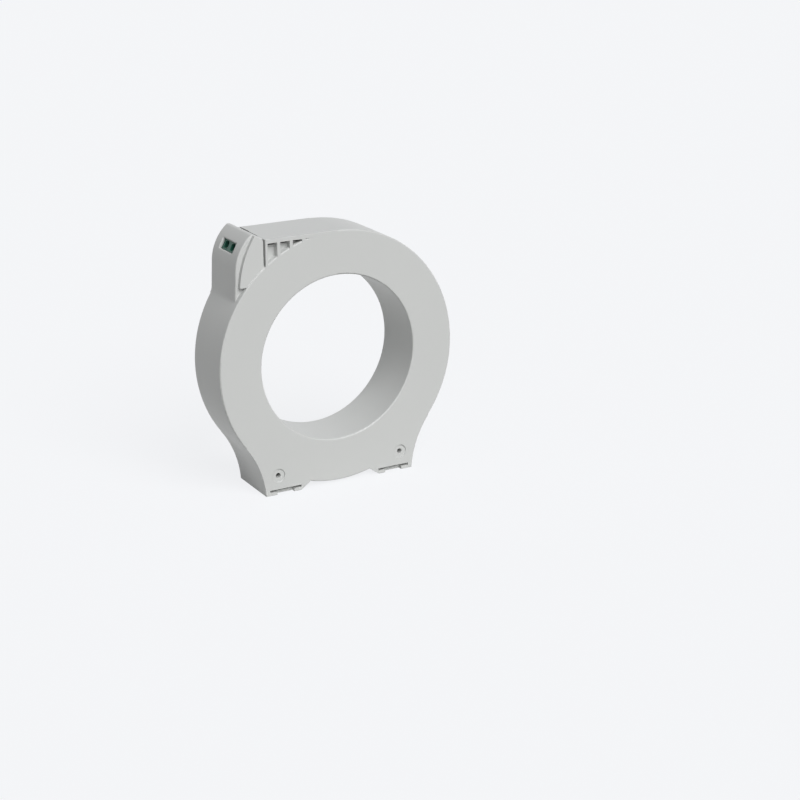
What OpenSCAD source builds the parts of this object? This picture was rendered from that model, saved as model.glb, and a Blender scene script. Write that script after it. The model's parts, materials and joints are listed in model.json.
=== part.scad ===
// Ring-type current transformer: a flat moulded ring that stands on two feet.
// The conductors pass through the bore, and a terminal in the hood gives the output.
// Faces are drawn looking at the front: x to the right, y up from the ring's centre,
// z from the back face (0) to the front face (depth). stand() puts them upright.

/* [Ring] */
// Outer diameter of the ring
ring_d = 168; // [160:1:180]
// Radial width of the ring, from the bore to the outside
ring_band = 29; // [28:0.5:34]
// Depth of the ring from face to face
depth = 38.8; // [37:0.1:44]
// Rounding of the ring's edges
edge_r = 1; // [0.4:0.1:1.4]

/* [Walls] */
// Thickness of the front wall
front_wall = 2.5; // [2:0.1:3]
// Thickness of the outer wall beside the rear cover
rim_wall = 2.5; // [2:0.1:3]
// Width of the ledge that the rear cover sits on
ledge = 1; // [0.6:0.1:1.4]
// Thickness of the rear cover
cover_t = 2.5; // [2:0.1:3]
// Gap round the rear cover
cover_fit = 0.15; // [0.1:0.05:0.3]

/* [Feet] */
// Height of the ring above the surface that it stands on
foot_drop = 1.7; // [1:0.1:3]
// Width over both feet
feet_w = 108; // [100:1:116]
// Radius of the hollow flanks
flank_r = 66; // [50:1:80]
// Distance between the inner edges of the feet
feet_gap = 57.8; // [54:0.1:59]
// Slope length of the inner edges, sideways
foot_slope = 6.6; // [5:0.1:8]
// Distance between the middles of the bracket slots
slot_pitch = 80; // [79:0.1:81]
// Width of a bracket slot
slot_w = 22.6; // [18:0.1:23]
// Height of a bracket slot
slot_h = 1.6; // [1:0.1:2.2]
// Thickness of the lip below the slot
lip_t = 2; // [1.4:0.1:2.6]
// Width of the notch in the lip
notch_w = 12.2; // [8:0.1:14]
// Depth of the notch in the lip
notch_d = 3.1; // [2:0.1:5]
// Distance between the bracket screws
screw_pitch = 90; // [86:0.5:92]
// Height of the bracket screws above the surface
screw_h = 13; // [12:0.1:15]
// Diameter of the screw holes
screw_d = 3.4; // [3:0.1:4.4]
// Diameter of the recess round a screw hole
seat_d = 9; // [7:0.1:9.6]
// Depth of the recess round a screw hole
seat_t = 0.6; // [0.3:0.1:1]

/* [Crown] */
// Width of the gap between the hood and the ribs
gap_w = 1; // [0.6:0.1:2]
// Thickness of the roof over the gap
gap_roof = 1; // [0.6:0.1:2]
// Thickness of the rib beside the gap
first_rib = 1.6; // [0.8:0.1:2]
// Distance from one pocket to the next
pocket_pitch = 8.7; // [8:0.1:9.6]
// Thickness of the ribs between the pockets
rib_t = 2.2; // [1.6:0.1:3]
// Thickness of the wall over the pockets
pocket_roof = 2.7; // [2:0.1:3.4]
// Depth of the pockets and of the gap
pocket_d = 4; // [2:0.1:5]
// Number of pockets
pockets = 4; // [2:1:4]
// Height of the deep slots under the roof of the pockets
slot_rise = 1.7; // [1:0.1:2]
// Depth of the deep slots from the front face
slot_d = 12; // [8:0.1:14]
// Thickness of the wall round the deep slots
slot_wall = 1.5; // [1:0.1:2]
// Distance of the slit in the top from the back face
slit_back = 1.2; // [1:0.1:2]
// Length of the slit in the top
slit_l = 12.8; // [10:0.1:14]
// Width of the slit in the top
slit_w = 1.2; // [0.5:0.1:1.5]
// Length of the groove that runs on from the slit
groove_l = 13; // [8:0.1:14]
// Width of the groove
groove_w = 0.6; // [0.4:0.1:1]
// Depth of the groove
groove_d = 0.5; // [0.3:0.1:1]

/* [Hood] */
// Distance between the hood's side and the outermost point of the ring
hood_in = 14.5; // [14:0.1:16]
// Width of the hood from its side to the gap
hood_w = 18; // [17:0.1:19]
// Lean of the hood's side
side_lean = 2.5; // [0:0.1:4]
// Radius of the fillet between the hood's side and the ring
side_fillet = 8; // [4:0.5:12]
// Height of the ridge above the flat top, before it is rounded
ridge_h = 3.9; // [3:0.1:5]
// Rounding of the ridge
ridge_r = 2.5; // [1:0.1:3]
// Radius of the curved face
curve_r = 30; // [28:0.5:34]
// Depth of the curve's lower end below the flat top
curve_drop = 20.1; // [18:0.1:22]
// Distance of the hood's rim behind the ring's front face
rim_back = 3.6; // [2.6:0.1:4.6]
// Rounding of the rim
rim_r = 1; // [0.6:0.1:2.4]
// Distance of the cheek behind the ring's front face
cheek_back = 0.9; // [0.4:0.1:1.4]
// Radius of the cheek's outer edge
cheek_r = 62; // [56:1:70]
// Distance between the cheek and the side of the hood at its widest
cheek_in = 1.5; // [0.6:0.1:2]
// Depth of the cheek's widest point below the flat top
cheek_drop = 32.2; // [30:0.1:34]
// Depth of the cheek's lower end below the flat top
cheek_foot = 29.1; // [27:0.1:30]

/* [Terminal window] */
// Angle of the window above level
window_a = 27.5; // [25:0.5:30]
// Distance of the window's middle behind the middle of the ring
window_back = 2.5; // [1:0.1:3]
// Width of the window
window_w = 18.4; // [16:0.1:19]
// Height of the window
window_h = 6.8; // [6:0.1:7.4]
// Size of the bevel round the window
window_bevel = 0.9; // [0.4:0.1:1.2]
// Depth of the terminal's face below the curved face
recess = 1.8; // [1.4:0.1:4]
// Gap between the terminal and the window
window_fit = 0.2; // [0.1:0.05:0.4]

/* [Terminal] */
// Length of the terminal block
block_l = 12; // [11:0.1:13]
// Distance between the poles
pole_pitch = 9; // [8:0.1:9.6]
// Width of the chamber of each pole
chamber_w = 5.2; // [4:0.1:6]
// Height of the chamber of each pole
chamber_h = 4.2; // [3.6:0.1:4.6]
// Depth of the chamber of each pole
chamber_l = 9; // [8:0.1:10]
// Width of the slot for the release tool
tool_w = 3; // [2:0.1:4]
// Height of the slot for the release tool
tool_h = 0.7; // [0.5:0.1:0.8]
// Thickness of the contact bars
bar_t = 0.8; // [0.6:0.1:1]
// Thickness of the clamp springs
spring_t = 0.4; // [0.3:0.05:0.5]
// Thickness of the solder pins
pin_t = 1; // [0.8:0.1:1.2]

/* [Circuit board] */
// Thickness of the circuit board
board_t = 1.6; // [1:0.1:2]
// Length of the circuit board along the terminal
board_l = 14; // [13:0.1:15]
// Gap between the board's outer edge and the hood's wall
board_gap = 1.1; // [0.8:0.1:2]
// Gap between the board and its rails
board_fit = 0.15; // [0.1:0.05:0.3]
// Thickness of the board rails
rail_t = 1.2; // [1:0.1:1.4]
// Height of the board rails
rail_h = 1.2; // [0.8:0.1:1.4]
// Diameter of the suppressor diodes
diode_d = 2.7; // [2:0.1:3]
// Length of the suppressor diodes
diode_l = 5.2; // [4:0.1:6]
// Diameter of the diode's wires
diode_wire = 0.7; // [0.5:0.1:0.9]

/* [Core and winding] */
// Gap between the wound core and the walls of the case, inside and outside
core_room = 2.3; // [1:0.1:3]
// Thickness of the core box
box_t = 1.2; // [0.8:0.1:1.4]
// Gap between the core and its box
box_fit = 0.3; // [0.1:0.05:0.4]
// Thickness of the secondary winding
winding_t = 1.4; // [1:0.1:1.6]
// Thickness of the tape over the winding
tape_t = 0.3; // [0.2:0.05:0.5]
// Thickness of the front pad
pad_t = 2.4; // [1.5:0.1:2.6]
// Thickness of the rear pad
rear_pad_t = 3.3; // [2:0.1:4]
// Thickness of the screening band
band_t = 0.6; // [0.4:0.1:0.8]
// Running gap of the pieces that slip into each other
slip = 0.2; // [0.1:0.05:0.3]
// Diameter of the winding's leads
lead_d = 1.4; // [1:0.1:1.6]
// Distance between the two leads
lead_pitch = 9; // [6:0.5:12]

/* [Hidden] */
$fn = 96;
over = 1;
thin = 0.01;

ring_r = ring_d / 2;
bore_r = ring_r - ring_band;
axis_h = ring_r + foot_drop;
outer_wall = rim_wall + ledge;
cavity_r = ring_r - outer_wall;
hub_r = bore_r + outer_wall;
seat_z = cover_t;
front_z = depth - front_wall;

// Feet
foot_x = feet_w / 2;
foot_in = feet_gap / 2;
foot_diag = norm([foot_x, axis_h]);
flank_c = ring_r + flank_r;
flank_along = (foot_diag * foot_diag + flank_c * flank_c - flank_r * flank_r) / (2 * foot_diag);
flank_turn = acos(flank_along / flank_c) - atan2(axis_h, foot_x);
flank_x = flank_c * cos(flank_turn);
flank_y = flank_c * sin(flank_turn);
slope_x = foot_in - foot_slope;
slope_y = -sqrt(ring_r * ring_r - slope_x * slope_x);
slot_y = lip_t - axis_h;

// Crown and hood
hood_x = ring_r - hood_in;
gap_x = hood_x - hood_w;
flat_len = gap_x - gap_w;
curve_x = curve_r - hood_x;
curve_y = ring_r - curve_drop;
ridge_y = ring_r + ridge_h;
ridge_x = curve_x - sqrt(curve_r * curve_r - pow(ridge_y - curve_y, 2));
valley_x = -(flat_len + gap_w / 2);
roof_a = atan2(ridge_h, valley_x - ridge_x);
roof_up = [sin(roof_a), cos(roof_a)];
roof_along = [-cos(roof_a), sin(roof_a)];
hood_root = 6;
crown_low = sqrt(ring_r * ring_r - hood_x * hood_x) - hood_root;
side_l = curve_y - crown_low;
ring_away = [
    curve_y * sin(side_lean) - curve_x * cos(side_lean),
    -curve_x * sin(side_lean) - curve_y * cos(side_lean)
];
rim_z = depth - rim_back;
fill_z = rim_z - 1.5 * rim_r;
cheek_z = depth - cheek_back;
bay_z = depth - pocket_d - front_wall;
bay_end = flat_len / 2;
pocket_y = ring_r - pocket_roof;
slot_z = depth - slot_d;

// Terminal, in the frame of the window: x outwards, y down the curved face
window_z = depth / 2 - window_back;
face_x = curve_r - recess;
block_w = window_w - 2 * window_fit;
block_h = window_h - 2 * window_fit;
board_y = block_h / 2;
board_out = curve_r - outer_wall - board_gap;
board_in = board_out - board_l;
board_low = seat_z + slip;
board_high = bay_z - slip;
floor_y = chamber_h / 2;
wire_l = diode_l + diode_d;
bar_l = chamber_l - 2;
pin_hole = 1.6 * pin_t;
pin_tip = 1;
pin_l = block_h / 2 - floor_y + bar_t + board_t + pin_tip;

// Core stack, from the back pad to the front pad
stack_top = front_z - pad_t;
stack_low = seat_z + rear_pad_t;
coil_h = stack_top - stack_low;
box_h = coil_h - 2 * winding_t - 2 * tape_t;
core_h = box_h - 2 * box_t - box_fit;
coil_in = hub_r + core_room;
coil_out = cavity_r - core_room;
coil_w = coil_out - coil_in;
core_w = coil_w - 2 * (tape_t + winding_t + box_t + box_fit);

// Leads: the corner where each one turns to the board, below its soldering place
lead_in = 2;
lead_rise = 2.4;
lead_x = board_in + lead_in;
lead_y = board_y + board_t + lead_rise;
lead_corner = [
    curve_x - lead_x * cos(window_a) - lead_y * sin(window_a),
    curve_y + lead_x * sin(window_a) - lead_y * cos(window_a)
];
lead_a = atan2(lead_corner.y, lead_corner.x);

module stand() {
    translate([0, depth / 2, axis_h]) rotate([90, 0, 0]) children();
}

// A band of rectangular section round the bore's axis
module band(inner, outer, low, high) {
    rotate_extrude() translate([inner, low]) square([outer - inner, high - low]);
}

// A rectangle whose corners are rounded
module soft_rect(w, h, r) {
    for (x = [r, w - r], y = [r, h - r]) translate([x, y]) circle(r);
    translate([r, 0]) square([w - 2 * r, h]);
    translate([0, r]) square([w, h - 2 * r]);
}

// Places what is drawn in the window's frame on the curved face
module at_window() {
    translate([curve_x, curve_y, window_z]) rotate([0, 0, 180 - window_a]) children();
}

module at_poles() {
    for (side = [-1, 1]) translate([0, 0, side * pole_pitch / 2]) children();
}

// Everything below the roof of the hood and the flat top
module below_roof(inset, right) {
    top_y = ring_r - inset;
    bend_x = valley_x - inset * tan(roof_a / 2);
    polygon([
        [bend_x - hood_x * cos(roof_a), top_y + hood_x * sin(roof_a)],
        [bend_x, top_y],
        [right, top_y],
        [right, crown_low],
        [-2 * hood_x, crown_low]
    ]);
}

// Outline of the flat top and the hood at the back face, drawn inwards by inset
module crown_outline(inset, right) {
    intersection() {
        union() {
            translate([curve_x, curve_y]) {
                circle(curve_r - inset);
                rotate([0, 0, -side_lean]) translate([inset - curve_r, -side_l]) square([hood_x, side_l]);
            }
            translate([curve_x, crown_low]) square([hood_x, ridge_y - crown_low]);
        }
        below_roof(inset, right);
    }
}

// Everything between the crown's outline and the ring
module crown_area(inset, right, ring) {
    difference() {
        crown_outline(inset, right);
        circle(ring);
    }
}

// The ring with its rounded edges
module ring_body() {
    rotate_extrude() translate([bore_r, 0]) soft_rect(ring_r - bore_r, depth, edge_r);
}

module foot_outline() {
    difference() {
        polygon([
            [0, 0], [slope_x, slope_y], [foot_in, -axis_h], [foot_x, -axis_h], [flank_x, flank_y]
        ]);
        translate([flank_x, flank_y]) circle(flank_r, $fn = 2 * $fn);
        circle(bore_r + edge_r);
    }
}

module foot_cuts() {
    translate([(slot_pitch - slot_w) / 2, slot_y, -over]) cube([slot_w, slot_h, depth + 2 * over]);
    for (z = [-over, depth - notch_d])
        translate([(slot_pitch - notch_w) / 2, -axis_h - over, z])
            cube([notch_w, lip_t + slot_h / 2 + over, notch_d + over]);
    translate([screw_pitch / 2, screw_h - axis_h, -over]) cylinder(d = screw_d, h = depth + 2 * over);
    translate([screw_pitch / 2, screw_h - axis_h, depth - seat_t]) cylinder(d = seat_d, h = seat_t + over);
}

module feet() {
    for (side = [0, 1]) mirror([side, 0, 0]) difference() {
        linear_extrude(depth) foot_outline();
        foot_cuts();
    }
}

// Section of the hood, from the curve's axis out to the rounded rim
module hood_section() {
    square([curve_r - rim_r, rim_z]);
    square([curve_r, rim_z - rim_r]);
    translate([curve_r - rim_r, rim_z - rim_r]) circle(rim_r);
}

// The hood's curved face and side with their rounded front edge
module hood_shell() {
    translate([curve_x, curve_y, 0]) {
        rotate([0, 0, -side_lean]) {
            mirror([1, 0, 0]) rotate_extrude(angle = 90 - side_lean) hood_section();
            rotate([90, 0, 0]) linear_extrude(side_l) mirror([1, 0]) hood_section();
        }
    }
}

// What the rounding takes off the ridge, where the curved face meets the roof
module ridge_waste() {
    below = -ridge_r - roof_up * ([curve_x, curve_y] - [valley_x, ring_r]);
    along = sqrt(pow(curve_r - ridge_r, 2) - below * below);
    out = below * roof_up + along * roof_along;
    curve_side = out * (ridge_r + over) / (curve_r - ridge_r);
    roof_side = roof_up * (ridge_r + over);
    translate([curve_x, curve_y] + out) difference() {
        polygon([[0, 0], curve_side, curve_side + roof_side, roof_side]);
        circle(ridge_r);
    }
}

// The fillet in the hollow corner between the hood's side and the ring
module side_fill() {
    x = -curve_r - side_fillet;
    y = ring_away.y + sqrt(pow(ring_r + side_fillet, 2) - pow(x - ring_away.x, 2));
    corner_y = ring_away.y + sqrt(ring_r * ring_r - pow(curve_r + ring_away.x, 2));
    foot = ring_away + ([x, y] - ring_away) * (ring_r - over) / (ring_r + side_fillet);
    translate([curve_x, curve_y]) rotate([0, 0, -side_lean]) difference() {
        polygon([[x, y], [over - curve_r, y], [over - curve_r, corner_y - over], foot]);
        translate([x, y]) circle(side_fillet);
    }
}

module cheek() {
    difference() {
        intersection() {
            crown_outline(cheek_in / 2, -gap_x);
            translate([cheek_r + cheek_in - hood_x, ring_r - cheek_drop]) circle(cheek_r, $fn = 2 * $fn);
            translate([-hood_x, ring_r - cheek_foot]) square([hood_x, hood_x]);
        }
        circle(ring_r - over);
    }
}

module crown() {
    intersection() {
        hood_shell();
        linear_extrude(depth) difference() {
            below_roof(0, -flat_len);
            circle(ring_r - over);
            ridge_waste();
        }
    }
    linear_extrude(fill_z) side_fill();
    linear_extrude(depth) difference() {
        crown_area(0, 0, ring_r - over);
        translate([-2 * hood_x, 0]) square([2 * hood_x - flat_len, 2 * hood_x]);
    }
    linear_extrude(cheek_z) cheek();
}

// The pockets between the ribs with their deep slots, and the gap beside the hood
module pocket_cuts() {
    for (i = [0 : pockets - 1]) translate([first_rib - flat_len + i * pocket_pitch, 0, depth + over]) {
        translate([0, 0, -pocket_d - over]) cube([pocket_pitch - rib_t, pocket_y, pocket_d + over]);
        translate([0, pocket_y - slot_rise, -slot_d - over])
            cube([pocket_pitch - rib_t, slot_rise, slot_d + over]);
    }
    translate([-gap_x, 0, depth - pocket_d]) cube([gap_w, ring_r - gap_roof, pocket_d + over]);
}

// The slit in the top, open to the bay, and the groove that runs on from it
module slit_cut() {
    translate([-flat_len, cavity_r - over, slit_back]) cube([slit_w, outer_wall + 2 * over, slit_l]);
    translate([-flat_len, ring_r - groove_d, slit_back + slit_l - over])
        cube([groove_w, groove_d + over, groove_l + over]);
}

module window_cut() {
    wide_w = window_w + 4 * window_bevel;
    wide_h = window_h + 4 * window_bevel;
    inner_r = curve_r - 2 * outer_wall;
    at_window() {
        translate([inner_r, -window_h / 2, -window_w / 2])
            cube([curve_r + over - inner_r, window_h, window_w]);
        hull() {
            translate([curve_r - window_bevel, -window_h / 2, -window_w / 2])
                cube([thin, window_h, window_w]);
            translate([curve_r + window_bevel, -wide_h / 2, -wide_w / 2]) cube([thin, wide_h, wide_w]);
        }
    }
}

// Room for the core and, beside it, the bay of the terminal and the board
module cavity() {
    band(hub_r, cavity_r, seat_z, front_z);
    difference() {
        translate([0, 0, seat_z]) linear_extrude(bay_z - seat_z)
            crown_area(outer_wall, -bay_end, cavity_r - over);
        translate([-flat_len, pocket_y - slot_rise - slot_wall, slot_z - slot_wall])
            cube([flat_len, ring_r, slot_d]);
    }
    translate([0, 0, -over]) linear_extrude(seat_z + over) cover_outline(0);
}

module cover_outline(fit) {
    difference() {
        union() {
            circle(ring_r - rim_wall - fit);
            crown_area(rim_wall + fit, -bay_end - fit, ring_r - 2 * outer_wall);
        }
        circle(bore_r + rim_wall + fit);
    }
}

// Two rails that hold one edge of the board
module board_rails(low, high) {
    at_window() for (y = [board_y - board_fit - rail_t, board_y + board_t + board_fit])
        translate([board_in + over, y, low - window_z]) cube([board_l - 3 * over, rail_t, high - low]);
}

module housing() {
    color("gainsboro") stand() {
        difference() {
            union() {
                ring_body();
                feet();
                difference() {
                    crown();
                    pocket_cuts();
                }
            }
            cavity();
            slit_cut();
            window_cut();
        }
        board_rails(bay_z - rail_h, bay_z + over);
    }
}

module rear_cover() {
    color("lightgray") stand() {
        linear_extrude(cover_t) cover_outline(cover_fit);
        board_rails(cover_t - over, cover_t + rail_h);
    }
}

module strip_core() {
    inner = coil_in + tape_t + winding_t + box_t + box_fit;
    low = stack_low + tape_t + winding_t + box_t;
    color("slategray") stand() band(inner, inner + core_w, low, low + core_h);
}

module core_tray() {
    inner = coil_in + tape_t + winding_t;
    outer = coil_out - tape_t - winding_t;
    low = stack_low + tape_t + winding_t;
    color("ivory") stand() difference() {
        band(inner, outer, low, low + box_h - box_t);
        band(inner + box_t, outer - box_t, low + box_t, low + box_h);
    }
}

module core_lid() {
    inner = coil_in + tape_t + winding_t;
    outer = coil_out - tape_t - winding_t;
    high = stack_top - tape_t - winding_t;
    color("beige") stand() band(inner, outer, high - box_t, high);
}

// A sleeve of rectangular section with rounded edges, round the core box
module sleeve(depth_in, t) {
    w = coil_w - 2 * depth_in;
    h = coil_h - 2 * depth_in;
    rotate_extrude() translate([coil_in + depth_in, stack_low + depth_in]) difference() {
        soft_rect(w, h, t);
        translate([t, t]) square([w - 2 * t, h - 2 * t]);
    }
}

module secondary_winding() {
    color("peru") stand() sleeve(tape_t, winding_t);
}

module winding_tape() {
    color("khaki") stand() difference() {
        rotate_extrude() translate([coil_in, stack_low]) difference() {
            soft_rect(coil_w, coil_h, winding_t + tape_t);
            translate([tape_t, tape_t])
                soft_rect(coil_w - 2 * tape_t, coil_h - 2 * tape_t, winding_t);
        }
        at_leads() rotate([0, 90, 0]) cylinder(d = lead_d + 2 * slip, h = ring_r);
    }
}

module front_pad() {
    color("dimgray") stand() band(hub_r + slip, cavity_r - slip, stack_top, front_z);
}

module rear_pad() {
    color("dimgray") stand() band(hub_r + slip, cavity_r - slip, seat_z, stack_low);
}

module screen_band() {
    color("silver") stand() band(hub_r + slip, hub_r + slip + band_t, stack_low, stack_top);
}

// Places what is drawn along x at the angle and heights of both leads
module at_leads() {
    for (side = [-1, 1]) at_lead(side) children();
}

module at_lead(side) {
    translate([0, 0, window_z + side * lead_pitch / 2]) rotate([0, 0, lead_a]) children();
}

// Lead from the winding to the underside of the circuit board
module lead(side) {
    start = coil_out - tape_t;
    reach = norm(lead_corner) - start;
    color("orangered") stand() at_lead(side) translate([start, 0, 0]) {
        rotate([0, 90, 0]) cylinder(d = lead_d, h = reach, $fn = 24);
        translate([reach, 0, 0]) {
            sphere(d = lead_d, $fn = 24);
            rotate([0, 0, 90 - window_a - lead_a])
                rotate([0, 90, 0]) cylinder(d = lead_d, h = lead_rise, $fn = 24);
        }
    }
}

module start_lead() {
    lead(1);
}

module end_lead() {
    lead(-1);
}

module circuit_board() {
    color("seagreen") stand() at_window() difference() {
        translate([board_in, board_y, board_low - window_z])
            cube([board_l, board_t, board_high - board_low]);
        at_poles() translate([face_x - chamber_l + pin_t, board_y - over, 0])
            rotate([-90, 0, 0]) cylinder(d = pin_hole, h = board_t + 2 * over);
    }
}

module terminal_block() {
    color("green") stand() at_window() difference() {
        translate([face_x - block_l, -block_h / 2, -block_w / 2]) cube([block_l, block_h, block_w]);
        at_poles() {
            translate([face_x - chamber_l, -floor_y, -chamber_w / 2])
                cube([chamber_l + over, chamber_h, chamber_w]);
            translate([face_x - chamber_l, -floor_y - tool_h, -tool_w / 2])
                cube([chamber_l + over, tool_h + over, tool_w]);
            translate([face_x - chamber_l + pin_t, 0, 0])
                rotate([-90, 0, 0]) cylinder(d = pin_hole, h = block_h);
        }
    }
}

// Contact bar on the chamber's floor, with its solder pin
module contact(side) {
    color("gold") stand() at_window() translate([0, 0, side * pole_pitch / 2]) {
        translate([face_x - chamber_l + slip, floor_y - bar_t, slip - chamber_w / 2])
            cube([bar_l, bar_t, chamber_w - 2 * slip]);
        translate([face_x - chamber_l + pin_t, floor_y - bar_t, 0])
            rotate([-90, 0, 0]) cylinder(d = pin_t, h = pin_l);
    }
}

module contact_front() {
    contact(1);
}

module contact_rear() {
    contact(-1);
}

// Clamp spring: a bent strip between the chamber's roof and the contact bar
module spring(side) {
    bend_r = (chamber_h - bar_t) / 2 - slip / 2;
    color("silver") stand() at_window() translate([
        face_x - chamber_l + bend_r + slip, -bar_t / 2, side * pole_pitch / 2 - chamber_w / 2 + slip
    ]) linear_extrude(chamber_w - 2 * slip) {
        difference() {
            circle(bend_r);
            circle(bend_r - spring_t);
            translate([0, -2 * bend_r]) square([4 * bend_r, 4 * bend_r]);
        }
        translate([0, -bend_r]) square([chamber_l / 2, spring_t]);
        translate([0, bend_r - spring_t]) square([chamber_l / 3, spring_t]);
    }
}

module spring_front() {
    spring(1);
}

module spring_rear() {
    spring(-1);
}

// Diode that lies along the board's inner edge, clear of the terminal
module diode(side) {
    diode_x = (board_in + face_x - block_l) / 2;
    diode_z = side * (wire_l / 2 + diode_wire);
    color("black") stand() at_window()
        translate([diode_x, board_y - diode_d / 2, diode_z]) {
            translate([0, 0, -diode_l / 2]) cylinder(d = diode_d, h = diode_l);
            translate([0, 0, -wire_l / 2]) cylinder(d = diode_wire, h = wire_l, $fn = 24);
            for (z = [-wire_l / 2, wire_l / 2]) translate([0, 0, z]) {
                sphere(d = diode_wire, $fn = 24);
                rotate([-90, 0, 0]) cylinder(d = diode_wire, h = diode_d / 2, $fn = 24);
            }
        }
}

module diode_front() {
    diode(1);
}

module diode_rear() {
    diode(-1);
}

housing();
rear_cover();
strip_core();
core_tray();
core_lid();
secondary_winding();
winding_tape();
front_pad();
rear_pad();
screen_band();
start_lead();
end_lead();
circuit_board();
terminal_block();
contact_front();
contact_rear();
spring_front();
spring_rear();
diode_front();
diode_rear();
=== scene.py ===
import json
import math

import bmesh
import bpy
from bpy.props import FloatProperty, FloatVectorProperty, IntProperty, PointerProperty
from mathutils import Matrix, Vector


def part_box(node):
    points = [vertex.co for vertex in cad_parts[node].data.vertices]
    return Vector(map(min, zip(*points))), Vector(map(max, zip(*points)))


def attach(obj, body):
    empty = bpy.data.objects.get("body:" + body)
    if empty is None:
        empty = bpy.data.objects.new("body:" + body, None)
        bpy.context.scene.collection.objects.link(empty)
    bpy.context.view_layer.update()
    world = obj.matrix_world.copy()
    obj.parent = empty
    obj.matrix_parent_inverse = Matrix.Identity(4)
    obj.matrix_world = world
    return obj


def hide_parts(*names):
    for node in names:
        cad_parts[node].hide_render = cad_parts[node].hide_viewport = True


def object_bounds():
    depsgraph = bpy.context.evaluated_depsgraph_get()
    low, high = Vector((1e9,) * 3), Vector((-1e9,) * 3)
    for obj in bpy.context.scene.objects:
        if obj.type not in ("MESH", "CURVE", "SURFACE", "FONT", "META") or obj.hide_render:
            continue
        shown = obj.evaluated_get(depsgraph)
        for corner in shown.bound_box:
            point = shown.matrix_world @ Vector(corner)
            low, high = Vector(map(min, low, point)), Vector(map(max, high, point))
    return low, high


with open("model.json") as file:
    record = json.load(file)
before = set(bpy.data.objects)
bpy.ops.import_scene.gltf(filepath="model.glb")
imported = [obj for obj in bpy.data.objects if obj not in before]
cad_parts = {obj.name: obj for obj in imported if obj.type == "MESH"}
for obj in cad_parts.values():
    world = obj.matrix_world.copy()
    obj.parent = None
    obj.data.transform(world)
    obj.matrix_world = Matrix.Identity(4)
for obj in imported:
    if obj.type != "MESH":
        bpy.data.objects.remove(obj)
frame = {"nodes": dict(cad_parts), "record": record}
CAD_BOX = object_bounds()
MOUNTS = {mount["name"]: mount for mount in frame["record"]["mounts"]}
AXIS_HEIGHT = MOUNTS["bore"]["pos_m"][2]
SIDES = ("front", "rear")

# Meshes: vertices nearer than this are one, faces at a wider angle keep a sharp edge,
# and how strongly the wide faces decide the shading
MERGE = 0.000001
SHARP = math.radians(32)
FLAT_WEIGHT = 100

# Screw drills: how far they stand out of the case, how much wider than the hole they are,
# and how many sides they have
DRILL_OVER = 0.001
DRILL_SLACK = 0.000004
DRILL_SIDES = 72

# Moulded surfaces: detail of the slow tone change and of the grain, change of roughness,
# and rays that find the edges and the recesses
TONE_DETAIL = 3
GRAIN_DETAIL = 2
ROUGH_CHANGE = 0.08
SURFACE_SAMPLES = 8

# Painted shade in recesses: reach over which a place counts as shut in, range of that share, and width of its
# front edge
PAINTED_SHADE_REACH = 0.006
SHUT_RANGE = (0.5, 0.78)
PAINTED_SHADE_FADE = 0.0006

# Diodes, as shares of half their length: end of the epoxy, middle of the pale band, half its width
EPOXY_END = 0.605
BAND_AT = 0.45
BAND_HALF = 0.08

# Slope of the tape's laps across the winding, in laps per metre
LAP_SLOPE = 40.0

# Finishes of the contacts, the springs and the pieces inside the case
TINNED = (0.62, 0.60, 0.55)
SPRING_STEEL = (0.5, 0.5, 0.5)
SCREEN_STEEL = (0.45, 0.45, 0.46)
CORE_STEEL = (0.3, 0.3, 0.32)
TAPE_AMBER = (0.62, 0.5, 0.12)
FOAM_BLACK = (0.03, 0.03, 0.032)
BOX_NYLON = (0.7, 0.68, 0.6)
LEAD_RED = (0.5, 0.06, 0.02)
BOARD_GREEN = (0.01, 0.11, 0.03)
EPOXY_BLACK = (0.015, 0.015, 0.016)
BAND_PALE = (0.55, 0.55, 0.53)

# Stage: the floor's half width, the tint of its light, and where the lamps stand and how wide they are
FLOOR_REACH = 20
FLOOR_TINT = (0.93, 0.93, 0.91)
KEY_TOWARDS = Vector((0.05, -0.7, 0.67))
KEY_SPREAD = math.radians(40)
FILL_TOWARDS = Vector((0.1, 0.97, 0.05))
FILL_SPREAD = math.radians(90)

# Camera: sensor in millimetres, and its place from the ring's centre in ring radii,
# to the right, up and ahead
SENSOR_WIDTH = 36
CAMERA_PLACE = (0.5815, -0.3896, -14)

bl_info = {
    "name": "Ring current transformer",
    "version": (1, 0, 0),
    "blender": (4, 5, 0),
    "location": "View3D > Sidebar > Transformer",
    "description": "Dresses a moulded ring current transformer and lights it in a plain studio",
    "category": "Object",
}


# ---------------------------------------------------------------- settings

class CaseSettings(bpy.types.PropertyGroup):
    colour: FloatVectorProperty(
        name="Colour", description="Colour of the moulded case", subtype="COLOR",
        default=(0.63, 0.64, 0.63), min=0, max=1)
    roughness: FloatProperty(
        name="Roughness", description="Roughness of the satin case", default=0.42, min=0, max=1,
        subtype="FACTOR")
    edge: FloatProperty(
        name="Edge rounding", description="Soft rounding that the mould leaves on the edges",
        default=0.0004, min=0, max=0.001, unit="LENGTH")
    seat: FloatProperty(
        name="Screw seat", description="Radius of the seats round the bracket screws",
        default=0.00452, min=0.004, max=0.005, unit="LENGTH")
    grain: FloatProperty(
        name="Grain", description="Height of the fine grain on the mould's faces",
        default=0.00002, min=0, max=0.0002, unit="LENGTH")
    # The recess darkening below is painted shade: it darkens the case's colour in shut-in places deep behind
    # the front face, where shade falls
    painted_shade: FloatProperty(
        name="Recess painted shade", description="How dark the dust in the deep recesses is",
        default=0.92, min=0, max=1, subtype="FACTOR")
    painted_shade_from: FloatProperty(
        name="Painted shade from", description="Depth behind the front face at which the dust begins",
        default=0.0042, min=0, max=0.04, unit="LENGTH")


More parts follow.
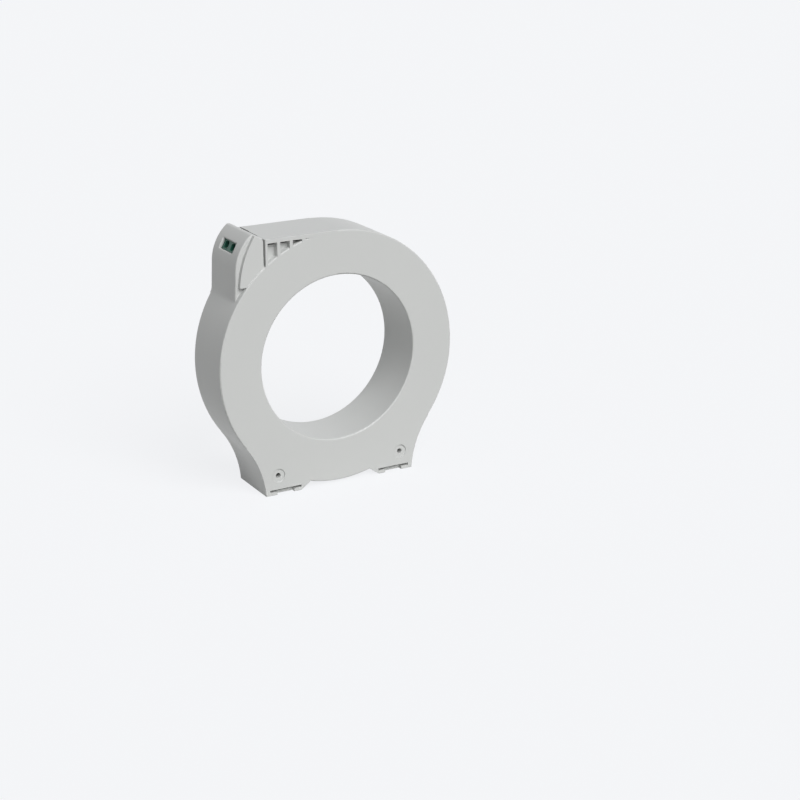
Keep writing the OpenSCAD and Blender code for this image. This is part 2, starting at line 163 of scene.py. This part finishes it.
class TerminalSettings(bpy.types.PropertyGroup):
    colour: FloatVectorProperty(
        name="Colour", description="Colour of the terminal block", subtype="COLOR",
        default=(0.02, 0.115, 0.08), min=0, max=1)
    metal: FloatVectorProperty(
        name="Contact colour", description="Colour of the tinned contacts", subtype="COLOR",
        default=TINNED, min=0, max=1)
    edge: FloatProperty(
        name="Edge rounding", description="Rounding of the block's edges",
        default=0.0001, min=0, max=0.0004, unit="LENGTH")


class InsideSettings(bpy.types.PropertyGroup):
    wire: FloatVectorProperty(
        name="Wire colour", description="Colour of the enamelled winding wire", subtype="COLOR",
        default=(0.55, 0.2, 0.06), min=0, max=1)
    turns: IntProperty(
        name="Turns", description="Turns of wire that show round the winding",
        default=360, min=20, max=1000)
    laps: IntProperty(
        name="Tape laps", description="Laps of tape round the winding", default=48, min=8, max=200)
    strip: FloatProperty(
        name="Strip pitch", description="Pitch of the wound layers that show on the core",
        default=0.0004, min=0.0001, max=0.002, unit="LENGTH")


class StageSettings(bpy.types.PropertyGroup):
    floor: FloatVectorProperty(
        name="Floor colour", description="Colour that the floor shows to the camera", subtype="COLOR",
        default=(0.903, 0.912, 0.930), min=0, max=1)
    bounce: FloatProperty(
        name="Floor bounce", description="Share of the light that the floor gives back to the part",
        default=0.62, min=0, max=1, subtype="FACTOR")
    shade: FloatProperty(
        name="Floor shade", description="How strongly shadows show on the floor",
        default=0.13, min=0, max=1, subtype="FACTOR")
    sky: FloatProperty(
        name="Sky", description="Strength of the even light from all round", default=0.15, min=0, max=2)
    key: FloatProperty(
        name="Key lamp", description="Strength of the soft key lamp", default=2.6, min=0, max=10)
    fill: FloatProperty(
        name="Fill lamp", description="Strength of the weak lamp behind the part", default=0.7, min=0, max=10)
    lens: FloatProperty(
        name="Lens", description="Focal length of the camera in millimetres", default=81.17,
        min=10, max=200, unit="CAMERA")
    yaw: FloatProperty(
        name="Yaw", description="Turn of the camera round the part", subtype="ANGLE",
        default=math.radians(29.965))
    tilt: FloatProperty(
        name="Tilt", description="Height angle of the camera", subtype="ANGLE",
        default=math.radians(19.07))


# ---------------------------------------------------------------- nodes

def node_of(tree, kind):
    """The node of that kind in a tree that has one."""
    return next(node for node in tree.nodes if node.type == kind)


def new_material(name):
    """A material with its shader, ready for links."""
    material = bpy.data.materials.new(name)
    material.use_nodes = True
    tree = material.node_tree
    return material, tree, node_of(tree, "BSDF_PRINCIPLED")


def new_group(name, inputs, outputs):
    """An empty shader node group with those sockets."""
    group = bpy.data.node_groups.new(name, "ShaderNodeTree")
    for label, kind, default in inputs:
        socket = group.interface.new_socket(label, in_out="INPUT", socket_type=kind)
        socket.default_value = default
    for label, kind in outputs:
        group.interface.new_socket(label, in_out="OUTPUT", socket_type=kind)
    return group, group.nodes.new("NodeGroupInput"), group.nodes.new("NodeGroupOutput")


def maths(tree, operation, *values):
    """A Math node's output; each value is a socket or a number."""
    node = tree.nodes.new("ShaderNodeMath")
    node.operation = operation
    for socket, value in zip(node.inputs, values):
        if isinstance(value, (int, float)):
            socket.default_value = value
        else:
            tree.links.new(value, socket)
    return node.outputs[0]


def ramp(tree, value, low, high):
    """A value from 0 at the low number to 1 at the high one."""
    node = tree.nodes.new("ShaderNodeMapRange")
    tree.links.new(value, node.inputs["Value"])
    node.inputs["From Min"].default_value = low
    node.inputs["From Max"].default_value = high
    return node.outputs["Result"]


def noise(tree, place, scale, detail):
    """A Noise node's value from 0 to 1; the place and the scale are sockets."""
    node = tree.nodes.new("ShaderNodeTexNoise")
    node.inputs["Detail"].default_value = detail
    tree.links.new(place, node.inputs["Vector"])
    tree.links.new(scale, node.inputs["Scale"])
    return node.outputs["Fac"]


def blend_colours(tree, factor, first, second, kind="MIX"):
    """A Mix node's colour; each colour is a socket or three numbers."""
    node = tree.nodes.new("ShaderNodeMix")
    node.data_type = "RGBA"
    node.blend_type = kind
    for label, value in (("Factor", factor), ("A", first), ("B", second)):
        socket = next(s for s in node.inputs if s.name == label and s.enabled)
        if isinstance(value, bpy.types.NodeSocket):
            tree.links.new(value, socket)
        else:
            socket.default_value = (*value, 1) if label != "Factor" else value
    return next(s for s in node.outputs if s.enabled)


def mould_surface():
    """Group: slow tone change, soft edges, fine grain and painted shade in the deep recesses of a moulded
    surface.
    """
    name = "mould_surface"
    if name in bpy.data.node_groups:
        return bpy.data.node_groups[name]
    group, start, end = new_group(
        name,
        (("Colour", "NodeSocketColor", (0.5, 0.5, 0.5, 1)),
         ("Tone change", "NodeSocketFloat", 0.03),
         ("Tone scale", "NodeSocketFloat", 18.0),
         ("Roughness", "NodeSocketFloat", 0.4),
         ("Grain scale", "NodeSocketFloat", 1800.0),
         ("Grain height", "NodeSocketFloat", 0.00002),
         ("Edge radius", "NodeSocketFloat", 0.0002),
         ("Recess painted shade", "NodeSocketFloat", 0.0),
         ("Painted shade from", "NodeSocketFloat", 0.0)),
        (("Colour", "NodeSocketColor"), ("Roughness", "NodeSocketFloat"), ("Normal", "NodeSocketVector")))
    link = group.links.new
    place = group.nodes.new("ShaderNodeTexCoord").outputs["Object"]
    slow = maths(group, "SUBTRACT", noise(group, place, start.outputs["Tone scale"], TONE_DETAIL), 0.5)
    fine = noise(group, place, start.outputs["Grain scale"], GRAIN_DETAIL)
    tone = maths(group, "MULTIPLY_ADD", slow, start.outputs["Tone change"], 1.0)
    tint = blend_colours(group, 1.0, start.outputs["Colour"], tone, "MULTIPLY")
    # Painted shade: the colour darkens where nearby faces shut the surface in, deep behind the front face
    open_air = group.nodes.new("ShaderNodeAmbientOcclusion")
    open_air.samples = SURFACE_SAMPLES
    open_air.inputs["Distance"].default_value = PAINTED_SHADE_REACH
    shut = maths(group, "SUBTRACT", 1.0, open_air.outputs["AO"])
    parts = group.nodes.new("ShaderNodeSeparateXYZ")
    link(place, parts.inputs[0])
    behind = maths(group, "SUBTRACT", parts.outputs["Y"], start.outputs["Painted shade from"])
    inner = ramp(group, behind, 0.0, PAINTED_SHADE_FADE)
    deep = maths(group, "MULTIPLY", ramp(group, shut, *SHUT_RANGE), start.outputs["Recess painted shade"])
    painted_shade = maths(group, "SUBTRACT", 1.0, maths(group, "MULTIPLY", deep, inner))
    link(blend_colours(group, 1.0, tint, painted_shade, "MULTIPLY"), end.inputs["Colour"])
    rough = maths(group, "MULTIPLY_ADD", slow, ROUGH_CHANGE, start.outputs["Roughness"])
    link(rough, end.inputs["Roughness"])

    edges = group.nodes.new("ShaderNodeBevel")
    edges.samples = SURFACE_SAMPLES
    link(start.outputs["Edge radius"], edges.inputs["Radius"])
    bump = group.nodes.new("ShaderNodeBump")
    bump.inputs["Strength"].default_value = 1
    link(start.outputs["Grain height"], bump.inputs["Distance"])
    link(fine, bump.inputs["Height"])
    link(edges.outputs["Normal"], bump.inputs["Normal"])
    link(bump.outputs["Normal"], end.inputs["Normal"])
    return group


def wave(tree, angle):
    """A sine wave from 0 to 1."""
    return maths(tree, "MULTIPLY_ADD", maths(tree, "SINE", angle), 0.5, 0.5)


def ring_lines():
    """Group: lines that run round the ring's axis or out from it, as waves from 0 to 1."""
    name = "ring_lines"
    if name in bpy.data.node_groups:
        return bpy.data.node_groups[name]
    group, start, end = new_group(
        name,
        (("Axis height", "NodeSocketFloat", 0.0),
         ("Count round", "NodeSocketFloat", 100.0),
         ("Pitch out", "NodeSocketFloat", 0.001)),
        (("Round", "NodeSocketFloat"), ("Out", "NodeSocketFloat"), ("Lap", "NodeSocketFloat")))
    parts = group.nodes.new("ShaderNodeSeparateXYZ")
    place = group.nodes.new("ShaderNodeTexCoord").outputs["Object"]
    group.links.new(place, parts.inputs[0])
    x = parts.outputs["X"]
    z = maths(group, "SUBTRACT", parts.outputs["Z"], start.outputs["Axis height"])
    turns = maths(group, "MULTIPLY", maths(group, "ARCTAN2", z, x), start.outputs["Count round"])
    square = maths(group, "ADD", maths(group, "MULTIPLY", x, x), maths(group, "MULTIPLY", z, z))
    layers = maths(group, "DIVIDE", maths(group, "SQRT", square), start.outputs["Pitch out"])
    laps = maths(group, "DIVIDE", turns, math.tau)
    skew = maths(group, "MULTIPLY_ADD", parts.outputs["Y"], LAP_SLOPE, laps)
    group.links.new(wave(group, turns), end.inputs["Round"])
    group.links.new(wave(group, maths(group, "MULTIPLY", layers, math.tau)), end.inputs["Out"])
    group.links.new(maths(group, "FRACT", skew), end.inputs["Lap"])
    return group


def moulded(
        name, colour, roughness, grain=0.00002, grain_scale=3200.0, tone=0.03, edge=0.0001,
        painted_shade=0.0, painted_shade_from=0.0):
    """A moulded plastic of that colour, with its grain and soft edges, and painted shade in its deep recesses
    when given.
    """
    if name in bpy.data.materials:
        return bpy.data.materials[name]
    material, tree, shader = new_material(name)
    surface = tree.nodes.new("ShaderNodeGroup")
    surface.node_tree = mould_surface()
    surface.inputs["Colour"].default_value = (*colour, 1)
    surface.inputs["Tone change"].default_value = tone
    surface.inputs["Roughness"].default_value = roughness
    surface.inputs["Grain scale"].default_value = grain_scale
    surface.inputs["Grain height"].default_value = grain
    surface.inputs["Edge radius"].default_value = edge
    surface.inputs["Recess painted shade"].default_value = painted_shade
    surface.inputs["Painted shade from"].default_value = CAD_BOX[0][1] + painted_shade_from
    for label, socket in (("Colour", "Base Color"), ("Roughness", "Roughness"), ("Normal", "Normal")):
        tree.links.new(surface.outputs[label], shader.inputs[socket])
    return material


def metal(name, colour, roughness):
    """A plain rolled or tinned metal."""
    material = moulded(name, colour, roughness, grain=0.000004, grain_scale=5000.0, tone=0.12, edge=0.00005)
    node_of(material.node_tree, "BSDF_PRINCIPLED").inputs["Metallic"].default_value = 1
    return material


def lined(material, line, height, dark, count=100.0, pitch=0.001):
    """Adds lines round the ring, with darker grooves, to a moulded or metal material."""
    tree = material.node_tree
    if "lines" in tree.nodes:
        return material
    shader = node_of(tree, "BSDF_PRINCIPLED")
    lines = tree.nodes.new("ShaderNodeGroup")
    lines.name = "lines"
    lines.node_tree = ring_lines()
    lines.inputs["Axis height"].default_value = AXIS_HEIGHT
    lines.inputs["Count round"].default_value = count
    lines.inputs["Pitch out"].default_value = pitch
    bump = tree.nodes.new("ShaderNodeBump")
    bump.inputs["Distance"].default_value = height
    tree.links.new(lines.outputs[line], bump.inputs["Height"])
    tree.links.new(shader.inputs["Normal"].links[0].from_socket, bump.inputs["Normal"])
    shade = maths(tree, "MULTIPLY_ADD", lines.outputs[line], 1 - dark, dark)
    plain = shader.inputs["Base Color"].links[0].from_socket
    tree.links.new(blend_colours(tree, 1.0, plain, shade, "MULTIPLY"), shader.inputs["Base Color"])
    tree.links.new(bump.outputs["Normal"], shader.inputs["Normal"])
    return material


def diode_finish(node):
    """Black epoxy with a pale band at one end, and tinned wires beyond both ends."""
    name = f"{node}_epoxy"
    if name in bpy.data.materials:
        return bpy.data.materials[name]
    low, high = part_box(node)
    middle, half = (low[1] + high[1]) / 2, (high[1] - low[1]) / 2
    material = moulded(name, EPOXY_BLACK, 0.4)
    tree = material.node_tree
    shader = node_of(tree, "BSDF_PRINCIPLED")
    parts = tree.nodes.new("ShaderNodeSeparateXYZ")
    tree.links.new(tree.nodes.new("ShaderNodeTexCoord").outputs["Object"], parts.inputs[0])
    along = maths(tree, "DIVIDE", maths(tree, "SUBTRACT", parts.outputs["Y"], middle), half)
    wire = maths(tree, "GREATER_THAN", maths(tree, "ABSOLUTE", along), EPOXY_END)
    from_band = maths(tree, "ABSOLUTE", maths(tree, "SUBTRACT", along, BAND_AT))
    band = maths(tree, "LESS_THAN", from_band, BAND_HALF)
    epoxy = shader.inputs["Base Color"].links[0].from_socket
    banded = blend_colours(tree, band, epoxy, BAND_PALE)
    tree.links.new(blend_colours(tree, wire, banded, TINNED), shader.inputs["Base Color"])
    tree.links.new(wire, shader.inputs["Metallic"])
    return material


# ---------------------------------------------------------------- meshes

def finish_piece(piece, material, node):
    """Gives a piece its material and its body, and hides the CAD node that it stands for."""
    piece.data.materials.append(material)
    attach(piece, "root")
    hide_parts(node)


def object_from(bm, name):
    """A new object at the origin that holds the bmesh."""
    mesh = bpy.data.meshes.new(name)
    bm.to_mesh(mesh)
    bm.free()
    piece = bpy.data.objects.new(name, mesh)
    bpy.context.scene.collection.objects.link(piece)
    return piece


def merged_copy(node):
    """A bmesh of a CAD node with its loose triangles joined."""
    bm = bmesh.new()
    bm.from_mesh(frame["nodes"][node].data)
    bmesh.ops.remove_doubles(bm, verts=bm.verts, dist=MERGE)
    return bm


def smooth_object(bm, name):
    """A new object whose curved faces are smooth and whose sharp edges stay sharp."""
    for face in bm.faces:
        face.smooth = True
    for edge in bm.edges:
        edge.smooth = len(edge.link_faces) == 2 and edge.calc_face_angle() < SHARP
    return object_from(bm, name)


def add_drill(bm, place, radius, length):
    """Adds a round bar along Y to a bmesh, with its front end at the place."""
    turn = Matrix.Rotation(math.radians(90), 4, "X")
    middle = place + Vector((0, length / 2, 0))
    bmesh.ops.create_cone(
        bm, cap_ends=True, segments=DRILL_SIDES, radius1=radius, radius2=radius, depth=length,
        matrix=Matrix.Translation(middle) @ turn)


def screw_drills(settings):
    """The bars that clear both screw seats and both screw holes, as one object."""
    screws = MOUNTS["bracket_screws"]
    reach = screws["dims"]["spacing_x_mm"] / 2000
    hole_r = screws["dims"]["hole_r_mm"] / 1000
    seat_y, height = screws["pos_m"][1], screws["pos_m"][2]
    front, back = CAD_BOX[0][1] - DRILL_OVER, CAD_BOX[1][1] + DRILL_OVER
    bm = bmesh.new()
    for side in (-1, 1):
        start = Vector((side * reach, front, height))
        add_drill(bm, start, settings.seat, seat_y - front + DRILL_SLACK)
        add_drill(bm, start, hole_r + DRILL_SLACK, back - front)
    return object_from(bm, "screw_drills")


def drilled(bm, drills):
    """The bmesh less the drills, which are used up."""
    piece = object_from(bm, "undrilled")
    cut = piece.modifiers.new("drill", "BOOLEAN")
    cut.operation = "DIFFERENCE"
    cut.solver = "EXACT"
    cut.use_self = True
    cut.object = drills
    result = piece.evaluated_get(bpy.context.evaluated_depsgraph_get())
    bm = bmesh.new()
    bm.from_mesh(result.to_mesh())
    for used in (piece, drills):
        mesh = used.data
        bpy.data.objects.remove(used)
        bpy.data.meshes.remove(mesh)
    bmesh.ops.remove_doubles(bm, verts=bm.verts, dist=MERGE)
    return bm


def even_normals(piece):
    """Keeps the wide flat faces flat in the shading."""
    even = piece.modifiers.new("even", "WEIGHTED_NORMAL")
    even.mode = "FACE_AREA"
    even.weight = FLAT_WEIGHT
    even.keep_sharp = True
    return piece


def paint(node, material):
    """Gives a CAD node its material and keeps its shape."""
    slots = frame["nodes"][node].data.materials
    slots.clear()
    slots.append(material)


# ---------------------------------------------------------------- operators

class CT_OT_case(bpy.types.Operator):
    """Make the moulded case and its rear cover."""
    bl_idname = "ct.case"
    bl_label = "Case"

    def execute(self, context):
        settings = context.scene.ct_case
        # The case plastic gets painted shade in its deep recesses
        plastic = moulded(
            "case_plastic", settings.colour, settings.roughness, settings.grain,
            edge=settings.edge, painted_shade=settings.painted_shade, painted_shade_from=settings.painted_shade_from)
        shell = smooth_object(drilled(merged_copy("housing"), screw_drills(settings)), "case_shell")
        finish_piece(even_normals(shell), plastic, "housing")
        cover = smooth_object(merged_copy("rear_cover"), "cover_plate")
        finish_piece(even_normals(cover), plastic, "rear_cover")
        return {"FINISHED"}


class CT_OT_terminal(bpy.types.Operator):
    """Make the terminal block with its contacts and springs."""
    bl_idname = "ct.terminal"
    bl_label = "Terminal"

    def execute(self, context):
        settings = context.scene.ct_terminal
        plastic = moulded("terminal_plastic", settings.colour, 0.38, edge=settings.edge)
        block = even_normals(smooth_object(merged_copy("terminal_block"), "terminal_body"))
        finish_piece(block, plastic, "terminal_block")
        for side in SIDES:
            paint(f"contact_{side}", metal("contact_metal", settings.metal, 0.35))
            paint(f"spring_{side}", metal("spring_metal", SPRING_STEEL, 0.3))
        return {"FINISHED"}


class CT_OT_inside(bpy.types.Operator):
    """Give the core, the winding and the other pieces inside the case their finish."""
    bl_idname = "ct.inside"
    bl_label = "Inside"

    def execute(self, context):
        settings = context.scene.ct_inside
        core = lined(
            metal("core_metal", CORE_STEEL, 0.4), "Out", height=0.00003, dark=0.7, pitch=settings.strip)
        wire = lined(
            metal("winding_copper", settings.wire, 0.35), "Round", height=0.0002, dark=0.35,
            count=settings.turns)
        tape = lined(
            moulded("tape_film", TAPE_AMBER, 0.25), "Lap", height=0.00006, dark=0.8,
            count=settings.laps)
        foam = moulded("pad_foam", FOAM_BLACK, 0.9, grain=0.0002, grain_scale=900.0)
        nylon = moulded("box_nylon", BOX_NYLON, 0.5)
        sleeve = moulded("lead_sleeve", LEAD_RED, 0.4)
        finishes = {
            "strip_core": core,
            "secondary_winding": wire,
            "winding_tape": tape,
            "core_tray": nylon,
            "core_lid": nylon,
            "front_pad": foam,
            "rear_pad": foam,
            "screen_band": metal("band_metal", SCREEN_STEEL, 0.35),
            "start_lead": sleeve,
            "end_lead": sleeve,
            "circuit_board": moulded("board_mask", BOARD_GREEN, 0.35),
            "diode_front": diode_finish("diode_front"),
            "diode_rear": diode_finish("diode_rear"),
        }
        for node, finish in finishes.items():
            paint(node, finish)
        return {"FINISHED"}


class CT_OT_stage(bpy.types.Operator):
    """Make the floor, the lights and the camera."""
    bl_idname = "ct.stage"
    bl_label = "Stage"

    def execute(self, context):
        settings = context.scene.ct_stage
        make_floor(settings)
        make_world(settings)
        make_lamps(settings)
        make_camera(settings)
        context.scene.view_settings.view_transform = "Standard"
        return {"FINISHED"}


def seen_directly(tree):
    """A value of 1 where the eye, a reflection or glass sees the surface."""
    path = tree.nodes.new("ShaderNodeLightPath")
    total = path.outputs["Is Camera Ray"]
    for label in ("Is Glossy Ray", "Is Transmission Ray"):
        total = maths(tree, "MAXIMUM", total, path.outputs[label])
    return total


def make_floor(settings):
    """A wide pale floor that lights the part from below and keeps its soft shadow."""
    bm = bmesh.new()
    bmesh.ops.create_grid(bm, x_segments=1, y_segments=1, size=FLOOR_REACH)
    floor = object_from(bm, "floor")
    material, tree, shader = new_material("floor_pale")
    tree.nodes.remove(shader)
    out = node_of(tree, "OUTPUT_MATERIAL")
    seen = seen_directly(tree)
    pale = [settings.bounce * c for c in FLOOR_TINT]
    quiet = [settings.shade * c for c in settings.floor]
    diffuse = tree.nodes.new("ShaderNodeBsdfDiffuse")
    tree.links.new(blend_colours(tree, seen, pale, quiet), diffuse.inputs["Color"])
    glow = tree.nodes.new("ShaderNodeEmission")
    glow.inputs["Color"].default_value = (*settings.floor, 1)
    level = settings.sky + settings.key * KEY_TOWARDS.normalized().z / math.pi
    tree.links.new(maths(tree, "MULTIPLY", seen, 1 - settings.shade * level), glow.inputs["Strength"])
    add = tree.nodes.new("ShaderNodeAddShader")
    tree.links.new(diffuse.outputs[0], add.inputs[0])
    tree.links.new(glow.outputs[0], add.inputs[1])
    tree.links.new(add.outputs[0], out.inputs["Surface"])
    floor.data.materials.append(material)


def make_world(settings):
    """Even light from all round, and a pale surround for what is seen directly."""
    world = bpy.data.worlds.new("studio")
    bpy.context.scene.world = world
    world.use_nodes = True
    tree = world.node_tree
    background = node_of(tree, "BACKGROUND")
    background.inputs["Color"].default_value = (*settings.floor, 1)
    strength = maths(tree, "MULTIPLY_ADD", seen_directly(tree), 1 - settings.sky, settings.sky)
    tree.links.new(strength, background.inputs["Strength"])


def make_lamp(name, energy, towards, spread):
    """A far lamp that shines from that side, as wide in the sky as its spread."""
    light = bpy.data.lights.new(name, "SUN")
    light.energy = energy
    light.angle = spread
    lamp = bpy.data.objects.new(name, light)
    lamp.rotation_euler = towards.to_track_quat("Z", "Y").to_euler()
    bpy.context.scene.collection.objects.link(lamp)
    return lamp


def make_lamps(settings):
    """A soft key lamp from the front and above, and a weak one behind the part."""
    make_lamp("key", settings.key, KEY_TOWARDS, KEY_SPREAD)
    fill = make_lamp("fill", settings.fill, FILL_TOWARDS, FILL_SPREAD)
    fill.visible_glossy = False


def make_camera(settings):
    """The camera, turned and tilted round the ring's centre."""
    yaw, tilt = settings.yaw, settings.tilt
    right = Vector((math.cos(yaw), -math.sin(yaw), 0))
    ahead = Vector((math.sin(yaw) * math.cos(tilt), math.cos(yaw) * math.cos(tilt), -math.sin(tilt)))
    up = right.cross(ahead)
    low, high = CAD_BOX
    ring_r = (high[0] - low[0]) / 2
    centre = Vector((0, 0, AXIS_HEIGHT))
    data = bpy.data.cameras.new("camera")
    data.lens = settings.lens
    data.sensor_width = SENSOR_WIDTH
    camera = bpy.data.objects.new("camera", data)
    from_right, from_up, from_ahead = CAMERA_PLACE
    place = centre + ring_r * (from_right * right + from_up * up + from_ahead * ahead)
    turn = Matrix((right, up, -ahead)).transposed().to_4x4()
    camera.matrix_world = Matrix.Translation(place) @ turn
    bpy.context.scene.collection.objects.link(camera)
    bpy.context.scene.camera = camera


# ---------------------------------------------------------------- add-on

class CT_PT_panel(bpy.types.Panel):
    """Sizes, colours and steps of the transformer."""
    bl_idname = "CT_PT_panel"
    bl_label = "Current transformer"
    bl_space_type = "VIEW_3D"
    bl_region_type = "UI"
    bl_category = "Transformer"

    def draw(self, context):
        for name in SETTINGS:
            settings = getattr(context.scene, name)
            box = self.layout.box()
            for label in settings.__annotations__:
                box.prop(settings, label)
        for step in STEPS:
            self.layout.operator(step.bl_idname)


STEPS = (CT_OT_stage, CT_OT_case, CT_OT_terminal, CT_OT_inside)
SETTINGS = {
    "ct_case": CaseSettings,
    "ct_terminal": TerminalSettings,
    "ct_inside": InsideSettings,
    "ct_stage": StageSettings,
}
CLASSES = (*SETTINGS.values(), *STEPS, CT_PT_panel)


def register():
    for cls in CLASSES:
        bpy.utils.register_class(cls)
    for name, group in SETTINGS.items():
        setattr(bpy.types.Scene, name, PointerProperty(type=group))


def unregister():
    for name in SETTINGS:
        delattr(bpy.types.Scene, name)
    for cls in reversed(CLASSES):
        bpy.utils.unregister_class(cls)


def main():
    """Makes the stage and every piece in order."""
    register()
    bpy.ops.ct.stage()
    bpy.ops.ct.case()
    bpy.ops.ct.terminal()
    bpy.ops.ct.inside()


if __name__ == "__main__":
    main()
